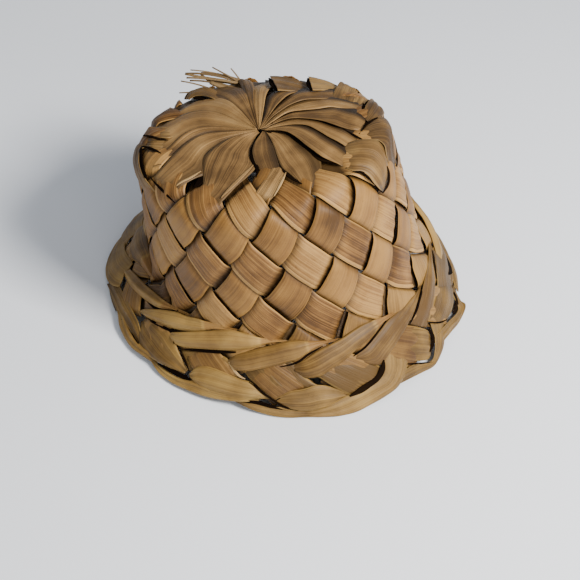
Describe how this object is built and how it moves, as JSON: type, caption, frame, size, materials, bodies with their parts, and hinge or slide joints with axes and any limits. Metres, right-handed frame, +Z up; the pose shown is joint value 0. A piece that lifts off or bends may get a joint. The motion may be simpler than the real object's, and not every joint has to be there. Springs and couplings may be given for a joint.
{
  "type": "palm leaf fedora",
  "caption": "Hand-plaited palm leaf hat with a pleated flat-topped crown, a band of folded leaf twists and a short drooping woven brim.",
  "frame": {"origin": "centre of the brim's edge, on the floor that the hat stands on", "axes": "+Z up; -Y towards the viewed front of the hat; +X to its right; the crown leans a little towards -X"},
  "size_m": [0.2651, 0.2651, 0.1616],
  "materials": {
    "fan_leaf": "dry leaf",
    "wall_leaf": "dry leaf",
    "brim_leaf": "dry leaf",
    "fold_leaf": "dry leaf",
    "twist_leaf": "dry leaf",
    "edge_leaf": "dry leaf",
    "frayed_leaf": "dry leaf"
  },
  "bodies": {
    "root": {"crown_fan": "fan_leaf", "crown_weave": "wall_leaf", "brim_weave": "brim_leaf", "shoulder_fold_01": "fold_leaf", "shoulder_fold_02": "fold_leaf", "shoulder_fold_03": "fold_leaf", "shoulder_fold_04": "fold_leaf", "shoulder_fold_05": "fold_leaf", "shoulder_fold_06": "fold_leaf", "shoulder_fold_07": "fold_leaf", "shoulder_fold_08": "fold_leaf", "shoulder_fold_09": "fold_leaf", "shoulder_fold_10": "fold_leaf", "shoulder_fold_11": "fold_leaf", "shoulder_fold_12": "fold_leaf", "shoulder_fold_13": "fold_leaf", "shoulder_fold_14": "fold_leaf", "shoulder_fold_15": "fold_leaf", "shoulder_fold_16": "fold_leaf", "shoulder_fold_17": "fold_leaf", "twist_01": "twist_leaf", "twist_02": "twist_leaf", "twist_03": "twist_leaf", "twist_04": "twist_leaf", "twist_05": "twist_leaf", "twist_06": "twist_leaf", "twist_07": "twist_leaf", "twist_08": "twist_leaf", "twist_09": "twist_leaf", "twist_10": "twist_leaf", "twist_11": "twist_leaf", "twist_12": "twist_leaf", "twist_13": "twist_leaf", "twist_14": "twist_leaf", "twist_15": "twist_leaf", "twist_16": "twist_leaf", "twist_17": "twist_leaf", "edge_leaf_01": "edge_leaf", "edge_leaf_02": "edge_leaf", "edge_leaf_03": "edge_leaf", "edge_leaf_04": "edge_leaf", "edge_leaf_05": "edge_leaf", "edge_leaf_06": "edge_leaf", "edge_leaf_07": "edge_leaf", "edge_leaf_08": "edge_leaf", "edge_leaf_09": "edge_leaf", "edge_leaf_10": "edge_leaf", "edge_leaf_11": "edge_leaf", "edge_leaf_12": "edge_leaf", "edge_leaf_13": "edge_leaf", "edge_leaf_14": "edge_leaf", "edge_leaf_15": "edge_leaf", "edge_leaf_16": "edge_leaf", "edge_leaf_17": "edge_leaf", "frayed_ends": "frayed_leaf"}
  },
  "joints": []
}
